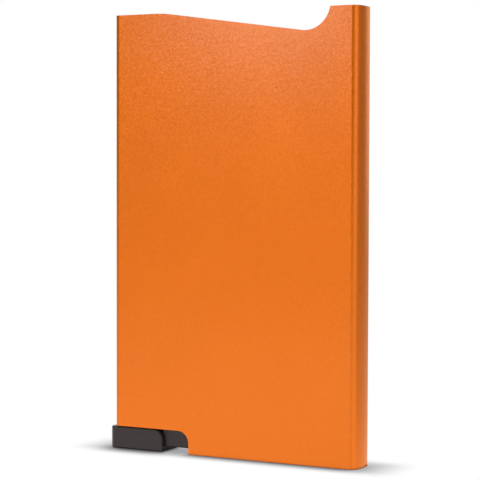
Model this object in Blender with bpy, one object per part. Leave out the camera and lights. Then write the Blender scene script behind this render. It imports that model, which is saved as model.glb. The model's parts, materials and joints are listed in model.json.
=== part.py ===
"""Aluminium card holder with a stepped lever that fans the cards out of the top.

The casing is one flat extrusion, cut at both ends. The foot of it holds a two-part moulded chassis,
and between the two halves a lever turns on a steel pin. The lever's finger tab fills a notch in the
casing's lower left corner. Pushing the tab to the right lifts the stepped arm, and each step raises one
card by its own amount. A pile strip along each narrow side grips the card edges.

Metres, +Z up. X runs across the width, Y through the thickness with the front at -Y. The origin is the
centre of the casing's foot. Places along X in the values below are measured from the casing's left side.
"""

import math

import bmesh
import bpy

MM = 0.001

# Cards, of the standard bank size, which the holder is made round
CARD_WIDTH = 54.0 * MM
CARD_HEIGHT = 85.6 * MM
CARD_PITCH = 0.83 * MM
CARDS = 6
CARD_SIDE_GAP = 0.15 * MM
CARD_REST_GAP = 0.3 * MM
CARD_COVER = 5.4 * MM

# Casing, an extrusion with thin flat faces and thicker sides, which are crowned on the outside
FACE_WALL = 0.7 * MM
SIDE_WALL = 1.6 * MM
CASE_CORNER = 1.4 * MM
SIDE_CROWN = 10.7 * MM
CAVITY_CORNER = 0.8 * MM

# Top edge, from left to right: a level land, a long slope, a round thumb scoop and a second land
LEFT_LAND = 13.7 * MM
LAND_BLEND = 30.0 * MM
SCOOP_RADIUS = 6.05 * MM
SCOOP_DROP = 5.1 * MM
RIGHT_LAND = 6.95 * MM
SCOOP_LIP = 0.3 * MM

# Notch for the finger tab, in the lower left corner and through both faces
NOTCH_WIDTH = 20.5 * MM
NOTCH_HEIGHT = 5.35 * MM
NOTCH_CORNER = 2.8 * MM

# Chassis, two moulded halves that close the foot and carry the pin
CHASSIS_GAP = 0.1 * MM
PLATE = 0.6 * MM
FLOOR = 0.8 * MM
FLOOR_RECESS = 0.2 * MM
SILL = 0.35 * MM
GUIDE_RISE = 1.8 * MM
GUIDE_LEAD = 0.45 * MM
GUIDE_LEAD_RISE = 0.9 * MM
SPLIT_GAP = 0.1 * MM
RIGHT_LEDGE = 5.8 * MM
PEG_RADIUS = 0.9 * MM
PEG_LENGTH = 1.7 * MM
PEG_GAP = 0.1 * MM

# Lever: finger tab, web, hub and stepped arm in one moulding
PIVOT_INSET = 5.0 * MM
LUG_RADIUS = 2.3 * MM
HUB_RADIUS = 2.7 * MM
TAB_INSET = 2.0 * MM
TAB_PROUD = 0.9 * MM
TAB_GAP = 0.2 * MM
TAB_CORNER = 2.2 * MM
TAB_SIDE_ROUND = 1.4 * MM
TAB_EDGE = 0.3 * MM
WEB_GAP = 0.4 * MM
WEB_FOOT = 1.2 * MM
WEB_EDGE = 0.25 * MM
WEB_HIDDEN = 1.1 * MM
WEB_ROOT = 1.5 * MM
WEB_EDGE_ANGLE = math.radians(-38.0)
LEVER_GAP = 0.3 * MM
ARM_GAP = 0.11 * MM
ARM_FOOT = 1.6 * MM
ARM_TIP_GAP = 1.1 * MM
ARM_FIRST_STEP = 10.9 * MM
ARM_TIP_HEIGHT = 4.5 * MM
ARM_TIP_ROUND = 1.2 * MM
SWING = math.radians(48.0)
SWING_MARGIN = math.radians(5.0)

# Pivot pin, trapped between the casing's faces
PIN_RADIUS = 1.0 * MM
PIN_SEAT_GAP = 0.05 * MM
PIN_RUN_GAP = 0.1 * MM
PIN_END_GAP = 0.1 * MM
PIN_CHAMFER = 0.15 * MM

# Pile strips on the narrow sides, each on its own adhesive backing
BACKING = 0.4 * MM
PILE_RISE = 2.25 * MM
STRIP_MARGIN = 0.3 * MM
STRIP_GAP = 0.05 * MM
STRIP_ROUND = 0.8 * MM
STRIP_FOOT_GAP = 1.4 * MM
STRIP_TOP_DROP = 8.0 * MM

# Modelling values
OVERRUN = 2.0 * MM
CORNER_STEPS = 10
SCOOP_STEPS = 18
ROUND_STEPS = 6
PIN_SIDES = 32

# Thickness, from the cards outwards
ARM_HALF_DEPTH = CARDS * CARD_PITCH / 2
PLATE_INNER = ARM_HALF_DEPTH + ARM_GAP
CHASSIS_HALF_DEPTH = PLATE_INNER + PLATE
CAVITY_HALF_DEPTH = CHASSIS_HALF_DEPTH + CHASSIS_GAP
HALF_DEPTH = CAVITY_HALF_DEPTH + FACE_WALL
WEB_HALF_DEPTH = CAVITY_HALF_DEPTH - WEB_GAP

# Width, from the cards outwards
PILE_FACE = CARD_WIDTH / 2 + CARD_SIDE_GAP
PILE_BACK = PILE_FACE + PILE_RISE
BACKING_FACE = PILE_BACK + STRIP_GAP
BACKING_BACK = BACKING_FACE + BACKING
CAVITY_RIGHT = BACKING_BACK + STRIP_GAP
RIGHT = CAVITY_RIGHT + SIDE_WALL
LEFT = -RIGHT
CHASSIS_RIGHT = CAVITY_RIGHT - CHASSIS_GAP
CHASSIS_LEFT = -CHASSIS_RIGHT

# Height, from the notch and the pivot upwards
SILL_HEIGHT = NOTCH_HEIGHT + SILL
PIVOT_X = LEFT + NOTCH_WIDTH - PIVOT_INSET
PIVOT_Z = SILL_HEIGHT + LUG_RADIUS
CARD_REST = PIVOT_Z + HUB_RADIUS + CARD_REST_GAP
CASE_HEIGHT = CARD_REST + CARD_HEIGHT + CARD_COVER
GUIDE_TOP = CARD_REST + GUIDE_RISE
FLOOR_TOP = FLOOR_RECESS + FLOOR
STRIP_FOOT = GUIDE_TOP + STRIP_FOOT_GAP
STRIP_TOP = CASE_HEIGHT - STRIP_TOP_DROP

# Lever, inside the notch and between the chassis ledges
TAB_END = PIVOT_X - TAB_INSET
TAB_HEIGHT = NOTCH_HEIGHT - TAB_GAP
WEB_END = LEFT + NOTCH_WIDTH + WEB_HIDDEN
LEDGE_LEFT_END = PIVOT_X - HUB_RADIUS - LEVER_GAP
LEDGE_RIGHT_START = CHASSIS_RIGHT - RIGHT_LEDGE
ARM_TIP = LEDGE_RIGHT_START - ARM_TIP_GAP
ARM_LENGTH = ARM_TIP - PIVOT_X
ARM_STEP = (ARM_LENGTH - ARM_FIRST_STEP) / (CARDS - 1)


def clear_scene():
    for old in list(bpy.data.objects):
        bpy.data.objects.remove(old)


def make_material(name, colour, roughness, metallic):
    material = bpy.data.materials.new(name)
    material.use_nodes = True
    shader = material.node_tree.nodes["Principled BSDF"]
    shader.inputs["Base Color"].default_value = (*colour, 1.0)
    shader.inputs["Roughness"].default_value = roughness
    shader.inputs["Metallic"].default_value = metallic
    material.diffuse_color = (*colour, 1.0)
    return material


def arc(centre, radius, start, end, steps):
    """Points along an arc, ends included. Angles in radians, from the first axis towards the second."""
    turn = (end - start) / steps
    angles = [start + turn * i for i in range(steps + 1)]
    return [(centre[0] + radius * math.cos(a), centre[1] + radius * math.sin(a)) for a in angles]


def rounded_rectangle(left, right, low, high, radius):
    """A rectangle with round corners, counter-clockwise."""
    quarter = math.pi / 2
    centres = [
        (right - radius, low + radius),
        (right - radius, high - radius),
        (left + radius, high - radius),
        (left + radius, low + radius),
    ]
    points = []
    for i, centre in enumerate(centres):
        points += arc(centre, radius, (i - 1) * quarter, i * quarter, CORNER_STEPS)
    return points


def crowned_rectangle(half_width, half_depth, corner, crown):
    """The casing's section, counter-clockwise: flat faces, and sides that bulge as arcs of radius crown."""
    reach = math.sqrt((crown - corner) ** 2 - (half_depth - corner) ** 2)
    bulge = math.asin((half_depth - corner) / (crown - corner))
    side = arc((half_width - crown, 0), crown, -bulge, bulge, CORNER_STEPS)
    centre = (half_width - crown + reach, half_depth - corner)
    blend = arc(centre, corner, bulge, math.pi / 2, CORNER_STEPS)[1:]
    right_rear = side + blend
    right_front = [(x, -y) for x, y in reversed(blend)]
    right = right_front + right_rear
    return right + [(-x, -y) for x, y in right]


def add_object(name, bm):
    bmesh.ops.recalc_face_normals(bm, faces=bm.faces)
    mesh = bpy.data.meshes.new(name)
    bm.to_mesh(mesh)
    bm.free()
    made = bpy.data.objects.new(name, mesh)
    bpy.context.scene.collection.objects.link(made)
    return made


def prism(name, outline, low, high, place):
    """Extrudes an outline from low to high. place turns (a, b, along) into (x, y, z)."""
    bm = bmesh.new()
    base = bm.faces.new([bm.verts.new(place(a, b, low)) for a, b in outline])
    raised = bmesh.ops.extrude_face_region(bm, geom=[base])["geom"]
    shift = [high_end - low_end for high_end, low_end in zip(place(0, 0, high), place(0, 0, low))]
    moved = [part for part in raised if isinstance(part, bmesh.types.BMVert)]
    bmesh.ops.translate(bm, verts=moved, vec=shift)
    return add_object(name, bm)


def side_prism(name, outline, low, high):
    """An outline in X and Z, extruded through the thickness from Y = low to Y = high."""
    return prism(name, outline, low, high, lambda a, b, along: (a, along, b))


def plan_prism(name, outline, low, high):
    """An outline in X and Y, extruded upwards from Z = low to Z = high."""
    return prism(name, outline, low, high, lambda a, b, along: (a, b, along))


def cylinder(name, centre, radius, low, high):
    """A round bar along Y."""
    turn = 2 * math.pi / PIN_SIDES
    outline = arc(centre, radius, 0, 2 * math.pi - turn, PIN_SIDES - 1)
    return side_prism(name, outline, low, high)


def combine(target, other, operation):
    """Cuts, joins or intersects target with other, and removes other."""
    boolean = target.modifiers.new("combine", "BOOLEAN")
    boolean.operation = operation
    boolean.solver = "EXACT"
    boolean.object = other
    graph = bpy.context.evaluated_depsgraph_get()
    mesh = bpy.data.meshes.new_from_object(target.evaluated_get(graph))
    target.modifiers.clear()
    old = target.data
    target.data = mesh
    bpy.data.meshes.remove(old)
    bpy.data.objects.remove(other)


def cut(target, *cutters):
    for cutter in cutters:
        combine(target, cutter, "DIFFERENCE")


def join(target, *others):
    for other in others:
        combine(target, other, "UNION")


def finish(piece, material, holder, smooth_angle=math.radians(30.0)):
    """Shades a piece, gives it its material and puts it under the holder's empty."""
    piece.data.materials.clear()
    piece.data.materials.append(material)
    piece.data.shade_smooth()
    piece.data.set_sharp_from_angle(angle=smooth_angle)
    piece.parent = holder
    return piece


def top_edge():
    """The casing's top edge from left to right, past both sides."""
    scoop_z = CASE_HEIGHT - SCOOP_DROP + SCOOP_RADIUS
    over = scoop_z - CASE_HEIGHT
    scoop_x = RIGHT - RIGHT_LAND - math.sqrt(SCOOP_RADIUS**2 - over**2)
    corner_x = LEFT + LEFT_LAND
    away = math.hypot(scoop_x - corner_x, over)
    slope = math.asin(SCOOP_RADIUS / away) - math.atan2(over, scoop_x - corner_x)
    blend = LAND_BLEND * math.tan(slope / 2)
    lip_z = CASE_HEIGHT - SCOOP_LIP
    reach = SCOOP_RADIUS + SCOOP_LIP
    lip_x = scoop_x + math.sqrt(reach**2 - (scoop_z - lip_z) ** 2)
    back = math.atan2(scoop_z - lip_z, scoop_x - lip_x)
    down = -math.pi / 2
    points = [(LEFT - OVERRUN, CASE_HEIGHT)]
    points += arc((corner_x - blend, CASE_HEIGHT - LAND_BLEND), LAND_BLEND, -down, -down - slope, ROUND_STEPS)
    points += arc((scoop_x, scoop_z), SCOOP_RADIUS, down - slope, back - math.pi, SCOOP_STEPS)
    points += arc((lip_x, lip_z), SCOOP_LIP, back, -down, ROUND_STEPS)[1:]
    points.append((RIGHT + OVERRUN, CASE_HEIGHT))
    return points


def notch_outline():
    """The notch in the lower left corner, run out past the side and the foot."""
    end = LEFT + NOTCH_WIDTH
    corner = (end - NOTCH_CORNER, NOTCH_HEIGHT - NOTCH_CORNER)
    points = [(LEFT - OVERRUN, -OVERRUN), (end, -OVERRUN)]
    points += arc(corner, NOTCH_CORNER, 0, math.pi / 2, CORNER_STEPS)
    points.append((LEFT - OVERRUN, NOTCH_HEIGHT))
    return points


def cavity(name, gap, low, high):
    """The space inside the extrusion, drawn in by gap all round."""
    side = CAVITY_RIGHT - gap
    depth = CAVITY_HALF_DEPTH - gap
    outline = rounded_rectangle(-side, side, -depth, depth, CAVITY_CORNER)
    return plan_prism(name, outline, low, high)


def build_casing():
    section = crowned_rectangle(RIGHT, HALF_DEPTH, CASE_CORNER, SIDE_CROWN)
    casing = plan_prism("casing", section, 0, CASE_HEIGHT + OVERRUN)
    top = top_edge()
    roof = CASE_HEIGHT + 2 * OVERRUN
    waste = top + [(RIGHT + OVERRUN, roof), (LEFT - OVERRUN, roof)]
    deep = HALF_DEPTH + OVERRUN
    cut(
        casing,
        side_prism("top_cutter", waste, -deep, deep),
        side_prism("notch_cutter", notch_outline(), -deep, deep),
        cavity("bore_cutter", 0, -OVERRUN, roof),
    )
    return casing


def plate_outline():
    """One chassis plate in X and Z. Its lug hangs round the pin, and an arc clears the lever's web."""
    sweep = math.hypot(WEB_END - PIVOT_X, PIVOT_Z - WEB_FOOT) + LEVER_GAP
    open_angle = WEB_EDGE_ANGLE + SWING + SWING_MARGIN
    floor_angle = -math.asin((PIVOT_Z - FLOOR_RECESS) / sweep)
    pivot = (PIVOT_X, PIVOT_Z)
    points = [(CHASSIS_LEFT - OVERRUN, SILL_HEIGHT)]
    points += arc(pivot, LUG_RADIUS, -math.pi / 2, open_angle, 2 * ROUND_STEPS)
    points += arc(pivot, sweep, open_angle, floor_angle, 2 * ROUND_STEPS)
    points += [
        (CHASSIS_RIGHT + OVERRUN, FLOOR_RECESS),
        (CHASSIS_RIGHT + OVERRUN, GUIDE_TOP),
        (CHASSIS_LEFT - OVERRUN, GUIDE_TOP),
    ]
    return points


def box_outline(left, right, low, high):
    return [(left, low), (right, low), (right, high), (left, high)]


def build_chassis_half(name, side):
    """One half of the chassis: side is -1 for the front half and 1 for the rear one."""
    outer = side * (CHASSIS_HALF_DEPTH + OVERRUN)
    inner = side * PLATE_INNER
    split = side * SPLIT_GAP / 2
    half = side_prism(name, plate_outline(), *sorted((outer, inner)))
    ledge_floor = SILL_HEIGHT
    blocks = {
        "left_ledge": box_outline(CHASSIS_LEFT - OVERRUN, LEDGE_LEFT_END, ledge_floor, CARD_REST),
        "right_ledge": box_outline(LEDGE_RIGHT_START, CHASSIS_RIGHT + OVERRUN, FLOOR_RECESS, CARD_REST),
        "floor": box_outline(WEB_END, CHASSIS_RIGHT + OVERRUN, FLOOR_RECESS, FLOOR_TOP),
    }
    for block, outline in blocks.items():
        join(half, side_prism(block, outline, *sorted((outer, split))))
    combine(half, cavity("fit", CHASSIS_GAP, FLOOR_RECESS, GUIDE_TOP), "INTERSECT")
    lead = [
        (inner - side * OVERRUN, GUIDE_TOP - GUIDE_LEAD_RISE),
        (inner, GUIDE_TOP - GUIDE_LEAD_RISE),
        (inner + side * GUIDE_LEAD, GUIDE_TOP),
        (inner + side * GUIDE_LEAD, GUIDE_TOP + OVERRUN),
        (inner - side * OVERRUN, GUIDE_TOP + OVERRUN),
    ]
    wedge = prism("lead_cutter", lead, LEFT, RIGHT, lambda a, b, along: (along, a, b))
    bore = PIN_RADIUS + PIN_SEAT_GAP
    cut(half, wedge, cylinder("pin_cutter", (PIVOT_X, PIVOT_Z), bore, *sorted((0, outer))))
    return half


def peg_places():
    """Where the chassis pegs stand, one in the middle of each ledge."""
    left = ((CHASSIS_LEFT + LEDGE_LEFT_END) / 2, (SILL_HEIGHT + CARD_REST) / 2)
    right = ((LEDGE_RIGHT_START + CHASSIS_RIGHT) / 2, (FLOOR_RECESS + CARD_REST) / 2)
    return {"left_peg": left, "right_peg": right}


def build_chassis_front():
    half = build_chassis_half("chassis_front", -1)
    root = -SPLIT_GAP / 2 - PEG_LENGTH
    for name, place in peg_places().items():
        join(half, cylinder(name, place, PEG_RADIUS, root, PEG_LENGTH))
    return half


def build_chassis_rear():
    half = build_chassis_half("chassis_rear", 1)
    bottom = PEG_LENGTH + PEG_GAP
    for name, place in peg_places().items():
        cut(half, cylinder(name, place, PEG_RADIUS + PEG_GAP, -PEG_LENGTH, bottom))
    return half


def from_pivot(x, z):
    """A place in the holder's X and Z, as the lever sees it from its pivot."""
    return (x - PIVOT_X, z - PIVOT_Z)


def build_tab():
    """The finger tab, as deep as the casing. Its left end is round and stands proud of the casing."""
    end = TAB_END
    proud = LEFT - TAB_PROUD
    corner = (end - TAB_CORNER, TAB_HEIGHT - TAB_CORNER)
    outline = [(proud, 0), (end, 0)]
    outline += arc(corner, TAB_CORNER, 0, math.pi / 2, ROUND_STEPS)
    outline.append((proud, TAB_HEIGHT))
    tab = side_prism("tab", [from_pivot(*point) for point in outline], -HALF_DEPTH, HALF_DEPTH)
    bm = bmesh.new()
    bm.from_mesh(tab.data)
    left = proud - PIVOT_X
    ends = [e for e in bm.edges if all(abs(v.co.x - left) < TAB_EDGE for v in e.verts)]
    uprights = [e for e in ends if abs(e.verts[0].co.y - e.verts[1].co.y) < TAB_EDGE]
    bmesh.ops.bevel(bm, geom=uprights, offset=TAB_SIDE_ROUND, segments=ROUND_STEPS, affect="EDGES", profile=0.5)
    sharp = [e for e in bm.edges if e.calc_face_angle() > math.radians(40.0)]
    bmesh.ops.bevel(bm, geom=sharp, offset=TAB_EDGE, segments=2, affect="EDGES", clamp_overlap=True, profile=0.5)
    bm.to_mesh(tab.data)
    bm.free()
    return tab


def build_web():
    """The thick web beside the tab. It stays below the chassis lug, and swings clear of the plates."""
    clear = LUG_RADIUS + LEVER_GAP
    root = TAB_END - WEB_ROOT
    reach = WEB_END
    shoulder = PIVOT_Z + (reach - PIVOT_X) * math.tan(WEB_EDGE_ANGLE)
    neck = PIVOT_Z - clear
    outline = [(root, WEB_FOOT), (reach, WEB_FOOT), (reach, shoulder)]
    outline += arc((PIVOT_X, PIVOT_Z), clear, WEB_EDGE_ANGLE, -math.pi / 2, ROUND_STEPS)
    outline += [(TAB_END, neck), (root, TAB_HEIGHT - TAB_CORNER)]
    points = [from_pivot(*point) for point in outline]
    web = side_prism("web", points, -WEB_HALF_DEPTH, WEB_HALF_DEPTH)
    bm = bmesh.new()
    bm.from_mesh(web.data)
    foot = WEB_FOOT - PIVOT_Z
    low = [e for e in bm.edges if all(abs(v.co.z - foot) < WEB_EDGE for v in e.verts)]
    along = [e for e in low if abs(e.verts[0].co.y - e.verts[1].co.y) < WEB_EDGE]
    bmesh.ops.bevel(bm, geom=along, offset=WEB_EDGE, segments=2, affect="EDGES", profile=0.5)
    bm.to_mesh(web.data)
    bm.free()
    return web


def arm_profile():
    """The hub and arm from the side, at the full length of the longest step."""
    top = PIVOT_Z + HUB_RADIUS
    points = [
        (PIVOT_X, top),
        (PIVOT_X - HUB_RADIUS, PIVOT_Z),
        (TAB_END, ARM_FOOT),
        (WEB_END, ARM_FOOT),
        (ARM_TIP + OVERRUN, top - ARM_TIP_HEIGHT),
        (ARM_TIP + OVERRUN, top),
    ]
    crown = arc((PIVOT_X, PIVOT_Z), HUB_RADIUS, math.pi / 2, math.pi, 2 * ROUND_STEPS)
    return [from_pivot(*point) for point in crown + points[2:]]


def arm_plan():
    """The arm from above, a stair with one step for each card. The rear step is the longest."""
    start = -HUB_RADIUS - OVERRUN
    points = [(start, ARM_HALF_DEPTH), (start, -ARM_HALF_DEPTH)]
    for step in range(CARDS):
        tip = ARM_FIRST_STEP + step * ARM_STEP
        points.append((tip, -ARM_HALF_DEPTH + step * CARD_PITCH))
        points.append((tip, -ARM_HALF_DEPTH + (step + 1) * CARD_PITCH))
    return points


def round_step_tips(arm):
    """Rounds the upper corner of each step, where a card's edge rides."""
    bm = bmesh.new()
    bm.from_mesh(arm.data)
    tips = [ARM_FIRST_STEP + step * ARM_STEP for step in range(CARDS)]
    near = ARM_GAP
    chosen = []
    for edge in bm.edges:
        ends = [vert.co for vert in edge.verts]
        level = all(abs(end.z - HUB_RADIUS) < near for end in ends)
        crosswise = abs(ends[0].x - ends[1].x) < near
        if level and crosswise and any(abs(ends[0].x - tip) < near for tip in tips):
            chosen.append(edge)
    bmesh.ops.bevel(bm, geom=chosen, offset=ARM_TIP_ROUND, segments=ROUND_STEPS, affect="EDGES", profile=0.5)
    bm.to_mesh(arm.data)
    bm.free()


def build_lever():
    deep = HALF_DEPTH + OVERRUN
    tall = PIVOT_Z + OVERRUN
    lever = side_prism("lever", arm_profile(), -deep, deep)
    combine(lever, plan_prism("steps", arm_plan(), -tall, tall), "INTERSECT")
    round_step_tips(lever)
    join(lever, build_web(), build_tab())
    cut(lever, cylinder("bore_cutter", (0, 0), PIN_RADIUS + PIN_RUN_GAP, -deep, deep))
    lever.location = (PIVOT_X, 0, PIVOT_Z)
    return lever


def build_pin():
    half = CHASSIS_HALF_DEPTH - PIN_END_GAP
    pin = cylinder("pivot_pin", (0, 0), PIN_RADIUS, -half, half)
    bm = bmesh.new()
    bm.from_mesh(pin.data)
    rims = [e for e in bm.edges if abs(e.verts[0].co.y - e.verts[1].co.y) < PIN_CHAMFER]
    bmesh.ops.bevel(bm, geom=rims, offset=PIN_CHAMFER, segments=1, affect="EDGES")
    bm.to_mesh(pin.data)
    bm.free()
    pin.location = (PIVOT_X, 0, PIVOT_Z)
    return pin


def pile_outline():
    """One pile strip from above: flat at the back, with two round corners towards the cards."""
    half_width = CAVITY_HALF_DEPTH - CAVITY_CORNER - STRIP_MARGIN
    crest = PILE_FACE + STRIP_ROUND
    quarter = math.pi / 2
    points = [(PILE_BACK, half_width)]
    points += arc((crest, half_width - STRIP_ROUND), STRIP_ROUND, quarter, 2 * quarter, ROUND_STEPS)
    points += arc((crest, STRIP_ROUND - half_width), STRIP_ROUND, 2 * quarter, 3 * quarter, ROUND_STEPS)
    points.append((PILE_BACK, -half_width))
    return points


def build_strip(side_name, side):
    """A backing and its pile strip on one narrow side: side is -1 on the left and 1 on the right."""
    half_width = CAVITY_HALF_DEPTH - CAVITY_CORNER
    backing = rounded_rectangle(BACKING_FACE, BACKING_BACK, -half_width, half_width, BACKING / 4)
    height = STRIP_TOP - STRIP_FOOT
    made = []
    for name, outline in (("strip_backing", backing), ("friction_strip", pile_outline())):
        placed = [(side * x, y) for x, y in outline]
        piece = plan_prism(f"{name}_{side_name}", placed, 0, height)
        piece.location = (0, 0, STRIP_FOOT)
        made.append(piece)
    return made


def main():
    clear_scene()
    holder = bpy.data.objects.new("card_holder", None)
    bpy.context.scene.collection.objects.link(holder)
    anodised = make_material("orange_anodised_aluminium", (0.80, 0.19, 0.035), 0.42, 1.0)
    chassis_black = make_material("chassis_plastic", (0.045, 0.040, 0.038), 0.55, 0.0)
    lever_black = make_material("lever_plastic", (0.055, 0.047, 0.044), 0.45, 0.0)
    steel = make_material("pin_steel", (0.60, 0.60, 0.58), 0.30, 1.0)
    pile = make_material("strip_pile", (0.030, 0.030, 0.032), 0.95, 0.0)
    tape = make_material("backing_tape", (0.070, 0.070, 0.070), 0.70, 0.0)
    finish(build_casing(), anodised, holder)
    finish(build_chassis_front(), chassis_black, holder)
    finish(build_chassis_rear(), chassis_black, holder)
    finish(build_lever(), lever_black, holder)
    finish(build_pin(), steel, holder)
    for side_name, side in (("left", -1), ("right", 1)):
        backing, strip = build_strip(side_name, side)
        finish(backing, tape, holder)
        finish(strip, pile, holder)


main()
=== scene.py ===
import json
import math

import bpy
from mathutils import Matrix, Vector


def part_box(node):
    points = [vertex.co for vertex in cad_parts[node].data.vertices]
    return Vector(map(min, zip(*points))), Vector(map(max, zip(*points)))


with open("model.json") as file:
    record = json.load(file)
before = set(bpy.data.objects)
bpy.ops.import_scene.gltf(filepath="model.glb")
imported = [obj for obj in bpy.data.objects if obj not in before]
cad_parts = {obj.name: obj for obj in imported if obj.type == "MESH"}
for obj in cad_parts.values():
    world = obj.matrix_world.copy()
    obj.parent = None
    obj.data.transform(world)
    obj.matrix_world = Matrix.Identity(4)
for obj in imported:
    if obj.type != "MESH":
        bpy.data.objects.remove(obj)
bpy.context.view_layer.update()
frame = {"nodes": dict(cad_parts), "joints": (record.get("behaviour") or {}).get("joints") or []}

MM = 0.001
NODES = frame["nodes"]
HALF_WIDTH, HALF_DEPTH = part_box("casing")[1].xy
PIVOT_X = frame["joints"][0]["pos_m"][0]

# The photograph's camera, fitted to the casing's outline
CAMERA_PLACE = Vector((179.6, -340.1, 66.6)) * MM
CAMERA_YAW = math.radians(27.80)
CAMERA_PITCH = math.radians(2.49)
CAMERA_ROLL = math.radians(0.17)
FOCAL_PIXELS = 1677.8
IMAGE_PIXELS = 480.0
SENSOR = 36.0
NEAR_CLIP = 0.01
FAR_CLIP = 20.0

# Noise patterns, each with its scale per metre, detail and roughness
GRAIN_NOISE = (2300.0, 2.0, 0.6)
SPECK_NOISE = (4700.0, 1.0, 0.5)
CLOUD_NOISE = (60.0, 2.0, 0.5)
MOULD_NOISE = (3000.0, 3.0, 0.6)
BROAD_NOISE = (180.0, 3.0, 0.5)
RING_NOISE = (900.0, 2.0, 0.5)

# The noise values that a change of colour or roughness runs between
GRAIN_RANGE = (0.35, 0.65)
NOISE_RANGE = (0.3, 0.7)

# The casing's finish: bare metal under a clear coat, both tipped a little in each small cell
ORANGE = ((0.710, 0.147, 0.003), (0.745, 0.159, 0.0035))
METAL_ROUGHNESS = (0.38, 0.42)
GRAZING_TINT = (1.0, 0.93, 0.68, 1.0)
COAT_WEIGHT = 0.137
COAT_ROUGHNESS = 0.14
COAT_IOR = 2.0
CELL_SCALE = 6500.0
CELL_MIDDLE = (0.5, 0.5, 0.5)
METAL_TILT = 0.17
COAT_TILT = 0.046
METAL_PITS = 1.0
COAT_PITS = 0.7
PIT_DEPTH = 0.01 * MM

# Moulded plastics
CHASSIS_COLOURS = ((0.040, 0.036, 0.035), (0.050, 0.046, 0.044))
CHASSIS_ROUGHNESS = 0.55
LEVER_COLOURS = ((0.017, 0.009, 0.008), (0.022, 0.012, 0.010))
LEVER_ROUGHNESS = 0.42
LEVER_SPECULAR = 0.42
TAPE_COLOURS = ((0.062, 0.062, 0.062), (0.078, 0.078, 0.078))
TAPE_ROUGHNESS = 0.7
PLAIN_SPECULAR = 0.5
ROUGHNESS_SPREAD = 0.05
MOULD_BUMP = 0.25
MOULD_DEPTH = 0.02 * MM

# Steel pin
STEEL_COLOUR = (0.60, 0.60, 0.58, 1.0)
STEEL_ROUGHNESS = (0.22, 0.36)
RING_STRETCH = (1.0, 12.0, 1.0)
RING_BUMP = 0.2
RING_DEPTH = 0.01 * MM

# Pile strips
PILE_COLOURS = ((0.060, 0.060, 0.064), (0.016, 0.016, 0.018))
PILE_ROUGHNESS = 0.95
PILE_SHEEN = 0.4
TUFT_SCALE = 3500.0
TUFT_RANGE = (0.0, 0.8)
TUFT_BUMP = 0.6
TUFT_DEPTH = 0.1 * MM

# The floor's painted contact shadow close to the object, as a level for each share of the light that gets
# in
CONTACT_REACH = 5.5 * MM
CONTACT_LEAN = (0.0, 0.6, 0.8)
CONTACT_SAMPLES = 16
CONTACT_LEVELS = (
    (0.28, 0.16),
    (0.30, 0.21),
    (0.41, 0.40),
    (0.55, 0.645),
    (0.70, 0.83),
    (0.87, 0.95),
    (0.98, 1.0),
)

# The painted wide shadow round the foot. From here on, a pair of places says where a change starts and
# ends.
POOL_WIDTH = (HALF_WIDTH, HALF_WIDTH + 12.0 * MM)
POOL_DEPTH = (HALF_DEPTH - 1.0 * MM, HALF_DEPTH + 7.0 * MM)
POOL_LEVEL = 0.58

# The painted shadow before the finger tab
TAB_LEFT = (-HALF_WIDTH - 5.0 * MM, -HALF_WIDTH + 4.0 * MM)
TAB_RIGHT = (PIVOT_X - 5.0 * MM, PIVOT_X + 4.0 * MM)
TAB_REACH = (-HALF_DEPTH - 7.5 * MM, -HALF_DEPTH - 0.5 * MM)
TAB_BACK = (-HALF_DEPTH + 0.5 * MM, HALF_DEPTH)
TAB_PAINTED_SHADE = 0.42

# The painted light that stands for light falling through the notch, between the tab and the casing's foot
GAP_TAB = (PIVOT_X - 3.2 * MM, PIVOT_X)
GAP_CASE = (PIVOT_X + 3.6 * MM, PIVOT_X + 7.0 * MM)
GAP_DEPTH = (-HALF_DEPTH - 4.5 * MM, -HALF_DEPTH + 1.5 * MM)
GAP_LEVELS = (0.72, 0.37)

# The studio table that reflections see, in painted light: brighter to the front left and dimmer far off,
# with a painted shadow under the object
FLOOR_REACH = 3.0
FLOOR_GREY = (0.75, 0.75, 0.75, 1.0)
LIT_ANGLE = math.radians(28.0)
LIT_REACH = (-120.0 * MM, 120.0 * MM)
LIT_LEVELS = (1.04, 1.54)
FADE_REACH = (50.0 * MM, 600.0 * MM)
FADE_LEVEL = 0.50
UNDER_WIDTH = (HALF_WIDTH, HALF_WIDTH + 0.8 * MM)
UNDER_DEPTH = (HALF_DEPTH, HALF_DEPTH + 0.8 * MM)
UNDER_LEVEL = 0.05

# The lamp for the sheen at the top of the front face
KEY_PLACE = Vector((-528.0, -1065.0, 244.0)) * MM
KEY_AIM = Vector((0.0, 0.0, 100.0)) * MM
KEY_WIDTH = 170.0 * MM
KEY_HEIGHT = 110.0 * MM
KEY_ENERGY = 0.79
KEY_COLOUR = (1.0, 0.98, 0.90)

# The studio round the object, as bright fields with dark gaps: a level for each direction.
# The angle, in degrees, runs from the front, -Y, towards the right, +X.
STUDIO = (
    (-180.0, 1.15),
    (-142.0, 1.15),
    (-134.0, 0.50),
    (-80.0, 0.40),
    (-62.0, 0.10),
    (-46.0, 0.10),
    (-37.0, 0.40),
    (-30.0, 1.18),
    (-21.0, 1.20),
    (-12.0, 0.06),
    (5.0, 0.05),
    (21.0, 0.50),
    (39.0, 1.30),
    (57.0, 1.80),
    (84.0, 1.80),
    (95.0, 1.15),
    (113.0, 0.90),
    (124.0, 0.52),
    (134.0, 0.34),
    (150.0, 0.31),
    (158.0, 0.90),
    (166.0, 1.75),
    (180.0, 1.45),
)
HALF_TURN = 180.0

# A rise is the upward part of a direction: 0 is level, 1 is straight up
STUDIO_RISE = (0.0, 0.16)
STUDIO_STRENGTH = (0.90, 0.95)
OVERHEAD_RISE = (0.35, 0.75)
OVERHEAD = (1.15, 1.15, 1.15, 1.0)
WHITE = (1.0, 1.0, 1.0, 1.0)


# Node helpers
def new_material(name):
    material = bpy.data.materials.new(name)
    material.use_nodes = True
    return material, material.node_tree.nodes, material.node_tree.links


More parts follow.
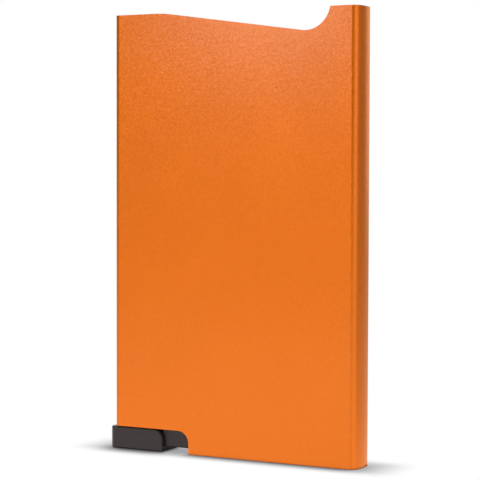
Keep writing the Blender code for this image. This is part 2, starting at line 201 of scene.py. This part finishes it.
def noise(nodes, links, vector, scale, detail, roughness):
    made = nodes.new("ShaderNodeTexNoise")
    made.inputs["Scale"].default_value = scale
    made.inputs["Detail"].default_value = detail
    made.inputs["Roughness"].default_value = roughness
    links.new(vector, made.inputs["Vector"])
    return made.outputs["Fac"]


def remap(nodes, links, value, span, levels=(0.0, 1.0), smooth=False):
    """Carries value from the ends of span to the two levels, and holds it there beyond the span."""
    made = nodes.new("ShaderNodeMapRange")
    made.interpolation_type = "SMOOTHSTEP" if smooth else "LINEAR"
    made.inputs["From Min"].default_value = span[0]
    made.inputs["From Max"].default_value = span[1]
    made.inputs["To Min"].default_value = levels[0]
    made.inputs["To Max"].default_value = levels[1]
    links.new(value, made.inputs["Value"])
    return made.outputs["Result"]


def faded(nodes, links, factor, level):
    """1 where factor is 0, down to level where factor is 1."""
    return remap(nodes, links, factor, (0.0, 1.0), (1.0, level))


def combine(nodes, links, operation, first, second=0.0):
    """One step of arithmetic. The second value is a socket or a number."""
    made = nodes.new("ShaderNodeMath")
    made.operation = operation
    links.new(first, made.inputs[0])
    if isinstance(second, float):
        made.inputs[1].default_value = second
    else:
        links.new(second, made.inputs[1])
    return made.outputs["Value"]


def vector_step(nodes, links, operation, first, second=None):
    """One step of vector arithmetic. The second value is a socket, a constant or left out."""
    made = nodes.new("ShaderNodeVectorMath")
    made.operation = operation
    links.new(first, made.inputs[0])
    if isinstance(second, float):
        made.inputs["Scale"].default_value = second
    elif isinstance(second, tuple):
        made.inputs[1].default_value = second
    elif second is not None:
        links.new(second, made.inputs[1])
    return made.outputs["Value" if operation in ("DOT_PRODUCT", "LENGTH") else "Vector"]


def blend_colour(nodes, links, factor, colours):
    made = nodes.new("ShaderNodeMix")
    made.data_type = "RGBA"
    made.inputs["A"].default_value = (*colours[0], 1.0)
    made.inputs["B"].default_value = (*colours[1], 1.0)
    links.new(factor, made.inputs["Factor"])
    return made.outputs["Result"]


def bump(nodes, links, height, strength, distance, normal=None):
    made = nodes.new("ShaderNodeBump")
    made.inputs["Strength"].default_value = strength
    made.inputs["Distance"].default_value = distance
    links.new(height, made.inputs["Height"])
    if normal is not None:
        links.new(normal, made.inputs["Normal"])
    return made.outputs["Normal"]


def fill_ramp(node, levels):
    """Gives a colour ramp grey stops, each a place from 0 to 1 and a level."""
    stops = node.color_ramp.elements
    while len(stops) > 1:
        stops.remove(stops[-1])
    for index, (place, level) in enumerate(levels):
        stop = stops[0] if index == 0 else stops.new(place)
        stop.position = place
        stop.color = (level, level, level, 1.0)


def straight_rays(nodes, links, path):
    """1 for the camera's own rays and for rays that go through something clear."""
    camera_rays = path.outputs["Is Camera Ray"]
    clear_rays = path.outputs["Is Transmission Ray"]
    return combine(nodes, links, "MAXIMUM", camera_rays, clear_rays)


# Materials
def tipped_normal(nodes, links, place, tilt):
    """The surface's own normal, tipped at random by up to tilt in each small cell."""
    cells = nodes.new("ShaderNodeTexVoronoi")
    cells.inputs["Scale"].default_value = CELL_SCALE
    links.new(place, cells.inputs["Vector"])
    centred = vector_step(nodes, links, "SUBTRACT", cells.outputs["Color"], CELL_MIDDLE)
    small = vector_step(nodes, links, "SCALE", centred, tilt)
    surface = nodes.new("ShaderNodeNewGeometry").outputs["Normal"]
    tipped = vector_step(nodes, links, "ADD", surface, small)
    return vector_step(nodes, links, "NORMALIZE", tipped)


def anodised_material():
    """Bead-blasted aluminium, anodised orange. Fine pits and tipped cells give it a soft sparkle."""
    material, nodes, links = new_material("anodised_orange")
    shader = nodes["Principled BSDF"]
    place = nodes.new("ShaderNodeTexCoord").outputs["Object"]
    grain = noise(nodes, links, place, *GRAIN_NOISE)
    speck = noise(nodes, links, place, *SPECK_NOISE)
    cloud = noise(nodes, links, place, *CLOUD_NOISE)
    tone = blend_colour(nodes, links, remap(nodes, links, grain, GRAIN_RANGE), ORANGE)
    links.new(tone, shader.inputs["Base Color"])
    rough = remap(nodes, links, cloud, NOISE_RANGE, METAL_ROUGHNESS)
    links.new(rough, shader.inputs["Roughness"])
    shader.inputs["Metallic"].default_value = 1.0
    shader.inputs["Specular Tint"].default_value = GRAZING_TINT
    shader.inputs["Coat Weight"].default_value = COAT_WEIGHT
    shader.inputs["Coat Roughness"].default_value = COAT_ROUGHNESS
    shader.inputs["Coat IOR"].default_value = COAT_IOR
    height = combine(nodes, links, "ADD", grain, speck)
    metal_cells = tipped_normal(nodes, links, place, METAL_TILT)
    metal_normal = bump(nodes, links, height, METAL_PITS, PIT_DEPTH, metal_cells)
    links.new(metal_normal, shader.inputs["Normal"])
    coat_cells = tipped_normal(nodes, links, place, COAT_TILT)
    coat_normal = bump(nodes, links, height, COAT_PITS, PIT_DEPTH, coat_cells)
    links.new(coat_normal, shader.inputs["Coat Normal"])
    return material


def plastic_material(name, colours, roughness, specular=PLAIN_SPECULAR):
    """Moulded plastic with a fine spark-eroded texture."""
    material, nodes, links = new_material(name)
    shader = nodes["Principled BSDF"]
    place = nodes.new("ShaderNodeTexCoord").outputs["Object"]
    fine = noise(nodes, links, place, *MOULD_NOISE)
    broad = noise(nodes, links, place, *BROAD_NOISE)
    tone = blend_colour(nodes, links, remap(nodes, links, broad, NOISE_RANGE), colours)
    links.new(tone, shader.inputs["Base Color"])
    spread = (roughness - ROUGHNESS_SPREAD, roughness + ROUGHNESS_SPREAD)
    rough = remap(nodes, links, fine, NOISE_RANGE, spread)
    links.new(rough, shader.inputs["Roughness"])
    shader.inputs["Specular IOR Level"].default_value = specular
    links.new(bump(nodes, links, fine, MOULD_BUMP, MOULD_DEPTH), shader.inputs["Normal"])
    return material


def steel_material():
    """Ground steel, with fine rings round the pin."""
    material, nodes, links = new_material("pin_steel")
    shader = nodes["Principled BSDF"]
    place = nodes.new("ShaderNodeTexCoord").outputs["Object"]
    stretch = nodes.new("ShaderNodeMapping")
    stretch.inputs["Scale"].default_value = RING_STRETCH
    links.new(place, stretch.inputs["Vector"])
    rings = noise(nodes, links, stretch.outputs["Vector"], *RING_NOISE)
    shader.inputs["Base Color"].default_value = STEEL_COLOUR
    shader.inputs["Metallic"].default_value = 1.0
    rough = remap(nodes, links, rings, NOISE_RANGE, STEEL_ROUGHNESS)
    links.new(rough, shader.inputs["Roughness"])
    links.new(bump(nodes, links, rings, RING_BUMP, RING_DEPTH), shader.inputs["Normal"])
    return material


def pile_material():
    """Short dense pile, nearly black."""
    material, nodes, links = new_material("strip_pile")
    shader = nodes["Principled BSDF"]
    place = nodes.new("ShaderNodeTexCoord").outputs["Object"]
    tufts = nodes.new("ShaderNodeTexVoronoi")
    tufts.inputs["Scale"].default_value = TUFT_SCALE
    links.new(place, tufts.inputs["Vector"])
    spots = tufts.outputs["Distance"]
    tone = blend_colour(nodes, links, remap(nodes, links, spots, TUFT_RANGE), PILE_COLOURS)
    links.new(tone, shader.inputs["Base Color"])
    shader.inputs["Roughness"].default_value = PILE_ROUGHNESS
    shader.inputs["Sheen Weight"].default_value = PILE_SHEEN
    links.new(bump(nodes, links, spots, TUFT_BUMP, TUFT_DEPTH), shader.inputs["Normal"])
    return material


def dress(node, material):
    part = NODES[node]
    part.data.materials.clear()
    part.data.materials.append(material)


# Floor
def painted_contact_shade(nodes, links):
    """The floor's painted contact shadow close to the object, darker where more is hidden of the side
    that it leans to.
    """
    near = nodes.new("ShaderNodeAmbientOcclusion")
    near.samples = CONTACT_SAMPLES
    near.inputs["Distance"].default_value = CONTACT_REACH
    facing = nodes.new("ShaderNodeCombineXYZ")
    for axis, amount in zip("XYZ", CONTACT_LEAN):
        facing.inputs[axis].default_value = amount
    links.new(facing.outputs["Vector"], near.inputs["Normal"])
    ramp = nodes.new("ShaderNodeValToRGB")
    links.new(near.outputs["AO"], ramp.inputs["Fac"])
    fill_ramp(ramp, CONTACT_LEVELS)
    return ramp.outputs["Color"]


def near_middle(nodes, links, axes, width, depth):
    """1 round the origin, down to 0 over the span width to the sides and over depth to front and back."""
    sideways = combine(nodes, links, "ABSOLUTE", axes["X"])
    endways = combine(nodes, links, "ABSOLUTE", axes["Y"])
    within_width = remap(nodes, links, sideways, width, (1.0, 0.0), smooth=True)
    within_depth = remap(nodes, links, endways, depth, (1.0, 0.0), smooth=True)
    return combine(nodes, links, "MULTIPLY", within_width, within_depth)


def between(nodes, links, value, start, end):
    """Rises from 0 to 1 over the span start, and falls back to 0 over the span end."""
    rising = remap(nodes, links, value, start, (0.0, 1.0), smooth=True)
    falling = remap(nodes, links, value, end, (1.0, 0.0), smooth=True)
    return combine(nodes, links, "MULTIPLY", rising, falling)


def seen_floor(nodes, links, axes):
    """The floor's level to the camera: white, less the object's painted shadows, with painted light in
    the notch.
    """
    # Painted shadow: the floor's emission is darkened near the object by how closed in it is
    contact = painted_contact_shade(nodes, links)
    # Painted shadow: a soft dark pool round the foot, set by place on the floor
    painted_pool = near_middle(nodes, links, axes, POOL_WIDTH, POOL_DEPTH)
    painted_open_shade = combine(nodes, links, "MULTIPLY", contact, faded(nodes, links, painted_pool, POOL_LEVEL))
    # Painted shadow: the floor before the finger tab is darkened further by a mask
    across_tab = between(nodes, links, axes["X"], TAB_LEFT, TAB_RIGHT)
    before_tab = remap(nodes, links, axes["Y"], TAB_REACH, (0.0, TAB_PAINTED_SHADE))
    not_behind = remap(nodes, links, axes["Y"], TAB_BACK, (1.0, 0.0), smooth=True)
    near_tab = combine(nodes, links, "MULTIPLY", before_tab, not_behind)
    tab = combine(nodes, links, "MULTIPLY", across_tab, near_tab)
    outside = combine(nodes, links, "MULTIPLY", painted_open_shade, faded(nodes, links, tab, 0.0))
    # Painted light: the floor in the notch is lifted to a set level
    gap = between(nodes, links, axes["X"], GAP_TAB, GAP_CASE)
    gap_level = remap(nodes, links, axes["Y"], GAP_DEPTH, GAP_LEVELS)
    notch_painted_light = combine(nodes, links, "MULTIPLY", gap, gap_level)
    return combine(nodes, links, "MAXIMUM", outside, notch_painted_light)


def mirrored_floor(nodes, links, place, axes):
    """The floor's level to reflections, as a studio table in painted light, with a painted shadow under
    the object.
    """
    front_left = (-math.sin(LIT_ANGLE), -math.cos(LIT_ANGLE), 0.0)
    along = vector_step(nodes, links, "DOT_PRODUCT", place, front_left)
    away = vector_step(nodes, links, "LENGTH", place)
    # Painted light: the table is brighter towards the front left, as from a lamp there, and dimmer far
    # off
    lit = remap(nodes, links, along, LIT_REACH, LIT_LEVELS)
    fade = remap(nodes, links, away, FADE_REACH, (1.0, FADE_LEVEL))
    table = combine(nodes, links, "MULTIPLY", lit, fade)
    # Painted shadow under the object
    under = near_middle(nodes, links, axes, UNDER_WIDTH, UNDER_DEPTH)
    return combine(nodes, links, "MULTIPLY", table, faded(nodes, links, under, UNDER_LEVEL))


def floor_material():
    """White with painted shadows to the camera, a studio table in painted light to reflections, and plain
    grey to all other light.
    """
    material, nodes, links = new_material("floor_white")
    output = nodes["Material Output"]
    nodes.remove(nodes["Principled BSDF"])
    path = nodes.new("ShaderNodeLightPath")
    glossy_rays = path.outputs["Is Glossy Ray"]
    place = nodes.new("ShaderNodeTexCoord").outputs["Object"]
    split = nodes.new("ShaderNodeSeparateXYZ")
    links.new(place, split.inputs[0])
    level = nodes.new("ShaderNodeMix")
    links.new(glossy_rays, level.inputs["Factor"])
    links.new(seen_floor(nodes, links, split.outputs), level.inputs["A"])
    links.new(mirrored_floor(nodes, links, place, split.outputs), level.inputs["B"])
    shown = nodes.new("ShaderNodeEmission")
    links.new(level.outputs["Result"], shown.inputs["Strength"])
    plain = nodes.new("ShaderNodeBsdfDiffuse")
    plain.inputs["Color"].default_value = FLOOR_GREY
    seen = combine(nodes, links, "MAXIMUM", straight_rays(nodes, links, path), glossy_rays)
    mixed = nodes.new("ShaderNodeMixShader")
    links.new(seen, mixed.inputs["Fac"])
    links.new(plain.outputs["BSDF"], mixed.inputs[1])
    links.new(shown.outputs["Emission"], mixed.inputs[2])
    links.new(mixed.outputs["Shader"], output.inputs["Surface"])
    return material


def add_floor():
    mesh = bpy.data.meshes.new("floor")
    corners = [(x * FLOOR_REACH, y * FLOOR_REACH, 0.0) for x, y in ((-1, -1), (1, -1), (1, 1), (-1, 1))]
    mesh.from_pydata(corners, [], [(0, 1, 2, 3)])
    floor = bpy.data.objects.new("floor", mesh)
    bpy.context.scene.collection.objects.link(floor)
    floor.data.materials.append(floor_material())


# Light
def add_key():
    data = bpy.data.lights.new("key", "AREA")
    data.shape = "RECTANGLE"
    data.size = KEY_WIDTH
    data.size_y = KEY_HEIGHT
    data.energy = KEY_ENERGY
    data.color = KEY_COLOUR
    key = bpy.data.objects.new("key", data)
    key.location = KEY_PLACE
    key.rotation_euler = (KEY_PLACE - KEY_AIM).to_track_quat("Z", "Y").to_euler()
    key.visible_camera = False
    bpy.context.scene.collection.objects.link(key)


def studio_colour(nodes, links, axes):
    """The studio's level in each direction, with a plain bright field overhead."""
    front = combine(nodes, links, "MULTIPLY", axes["Y"], -1.0)
    angle = combine(nodes, links, "ARCTAN2", axes["X"], front)
    ramp = nodes.new("ShaderNodeValToRGB")
    links.new(remap(nodes, links, angle, (-math.pi, math.pi)), ramp.inputs["Fac"])
    fill_ramp(ramp, [((degrees + HALF_TURN) / (2 * HALF_TURN), level) for degrees, level in STUDIO])
    colour = nodes.new("ShaderNodeMix")
    colour.data_type = "RGBA"
    links.new(remap(nodes, links, axes["Z"], OVERHEAD_RISE), colour.inputs["Factor"])
    links.new(ramp.outputs["Color"], colour.inputs["A"])
    colour.inputs["B"].default_value = OVERHEAD
    return colour.outputs["Result"]


def add_world():
    """The studio lights the object, and the camera sees plain white behind it."""
    world = bpy.data.worlds.new("studio")
    bpy.context.scene.world = world
    world.use_nodes = True
    nodes, links = world.node_tree.nodes, world.node_tree.links
    nodes.clear()
    split = nodes.new("ShaderNodeSeparateXYZ")
    links.new(nodes.new("ShaderNodeTexCoord").outputs["Generated"], split.inputs[0])
    studio = nodes.new("ShaderNodeBackground")
    links.new(studio_colour(nodes, links, split.outputs), studio.inputs["Color"])
    strength = remap(nodes, links, split.outputs["Z"], STUDIO_RISE, STUDIO_STRENGTH)
    links.new(strength, studio.inputs["Strength"])
    white = nodes.new("ShaderNodeBackground")
    white.inputs["Color"].default_value = WHITE
    white.inputs["Strength"].default_value = 1.0
    path = nodes.new("ShaderNodeLightPath")
    mixed = nodes.new("ShaderNodeMixShader")
    output = nodes.new("ShaderNodeOutputWorld")
    links.new(straight_rays(nodes, links, path), mixed.inputs["Fac"])
    links.new(studio.outputs["Background"], mixed.inputs[1])
    links.new(white.outputs["Background"], mixed.inputs[2])
    links.new(mixed.outputs["Shader"], output.inputs["Surface"])


# Camera
def add_camera():
    ahead = Vector((-math.sin(CAMERA_YAW), math.cos(CAMERA_YAW), 0.0))
    across = Vector((math.cos(CAMERA_YAW), math.sin(CAMERA_YAW), 0.0))
    upward = Vector((0.0, 0.0, 1.0))
    view = ahead * math.cos(CAMERA_PITCH) - upward * math.sin(CAMERA_PITCH)
    above = upward * math.cos(CAMERA_PITCH) + ahead * math.sin(CAMERA_PITCH)
    camera_x = across * math.cos(CAMERA_ROLL) + above * math.sin(CAMERA_ROLL)
    camera_y = above * math.cos(CAMERA_ROLL) - across * math.sin(CAMERA_ROLL)
    data = bpy.data.cameras.new("photo_camera")
    data.sensor_fit = "HORIZONTAL"
    data.sensor_width = SENSOR
    data.lens = SENSOR * FOCAL_PIXELS / IMAGE_PIXELS
    data.clip_start = NEAR_CLIP
    data.clip_end = FAR_CLIP
    data.dof.use_dof = False
    camera = bpy.data.objects.new("photo_camera", data)
    turn = Matrix((camera_x, camera_y, -view)).transposed().to_4x4()
    camera.matrix_world = Matrix.Translation(CAMERA_PLACE) @ turn
    bpy.context.scene.collection.objects.link(camera)
    bpy.context.scene.camera = camera


dress("casing", anodised_material())
chassis = plastic_material("chassis_plastic", CHASSIS_COLOURS, CHASSIS_ROUGHNESS)
dress("chassis_front", chassis)
dress("chassis_rear", chassis)
dress("lever", plastic_material("lever_plastic", LEVER_COLOURS, LEVER_ROUGHNESS, LEVER_SPECULAR))
dress("pivot_pin", steel_material())
pile = pile_material()
tape = plastic_material("backing_tape", TAPE_COLOURS, TAPE_ROUGHNESS)
for side in ("left", "right"):
    dress(f"friction_strip_{side}", pile)
    dress(f"strip_backing_{side}", tape)

add_floor()
add_key()
add_world()
add_camera()
bpy.context.scene.view_settings.view_transform = "Standard"
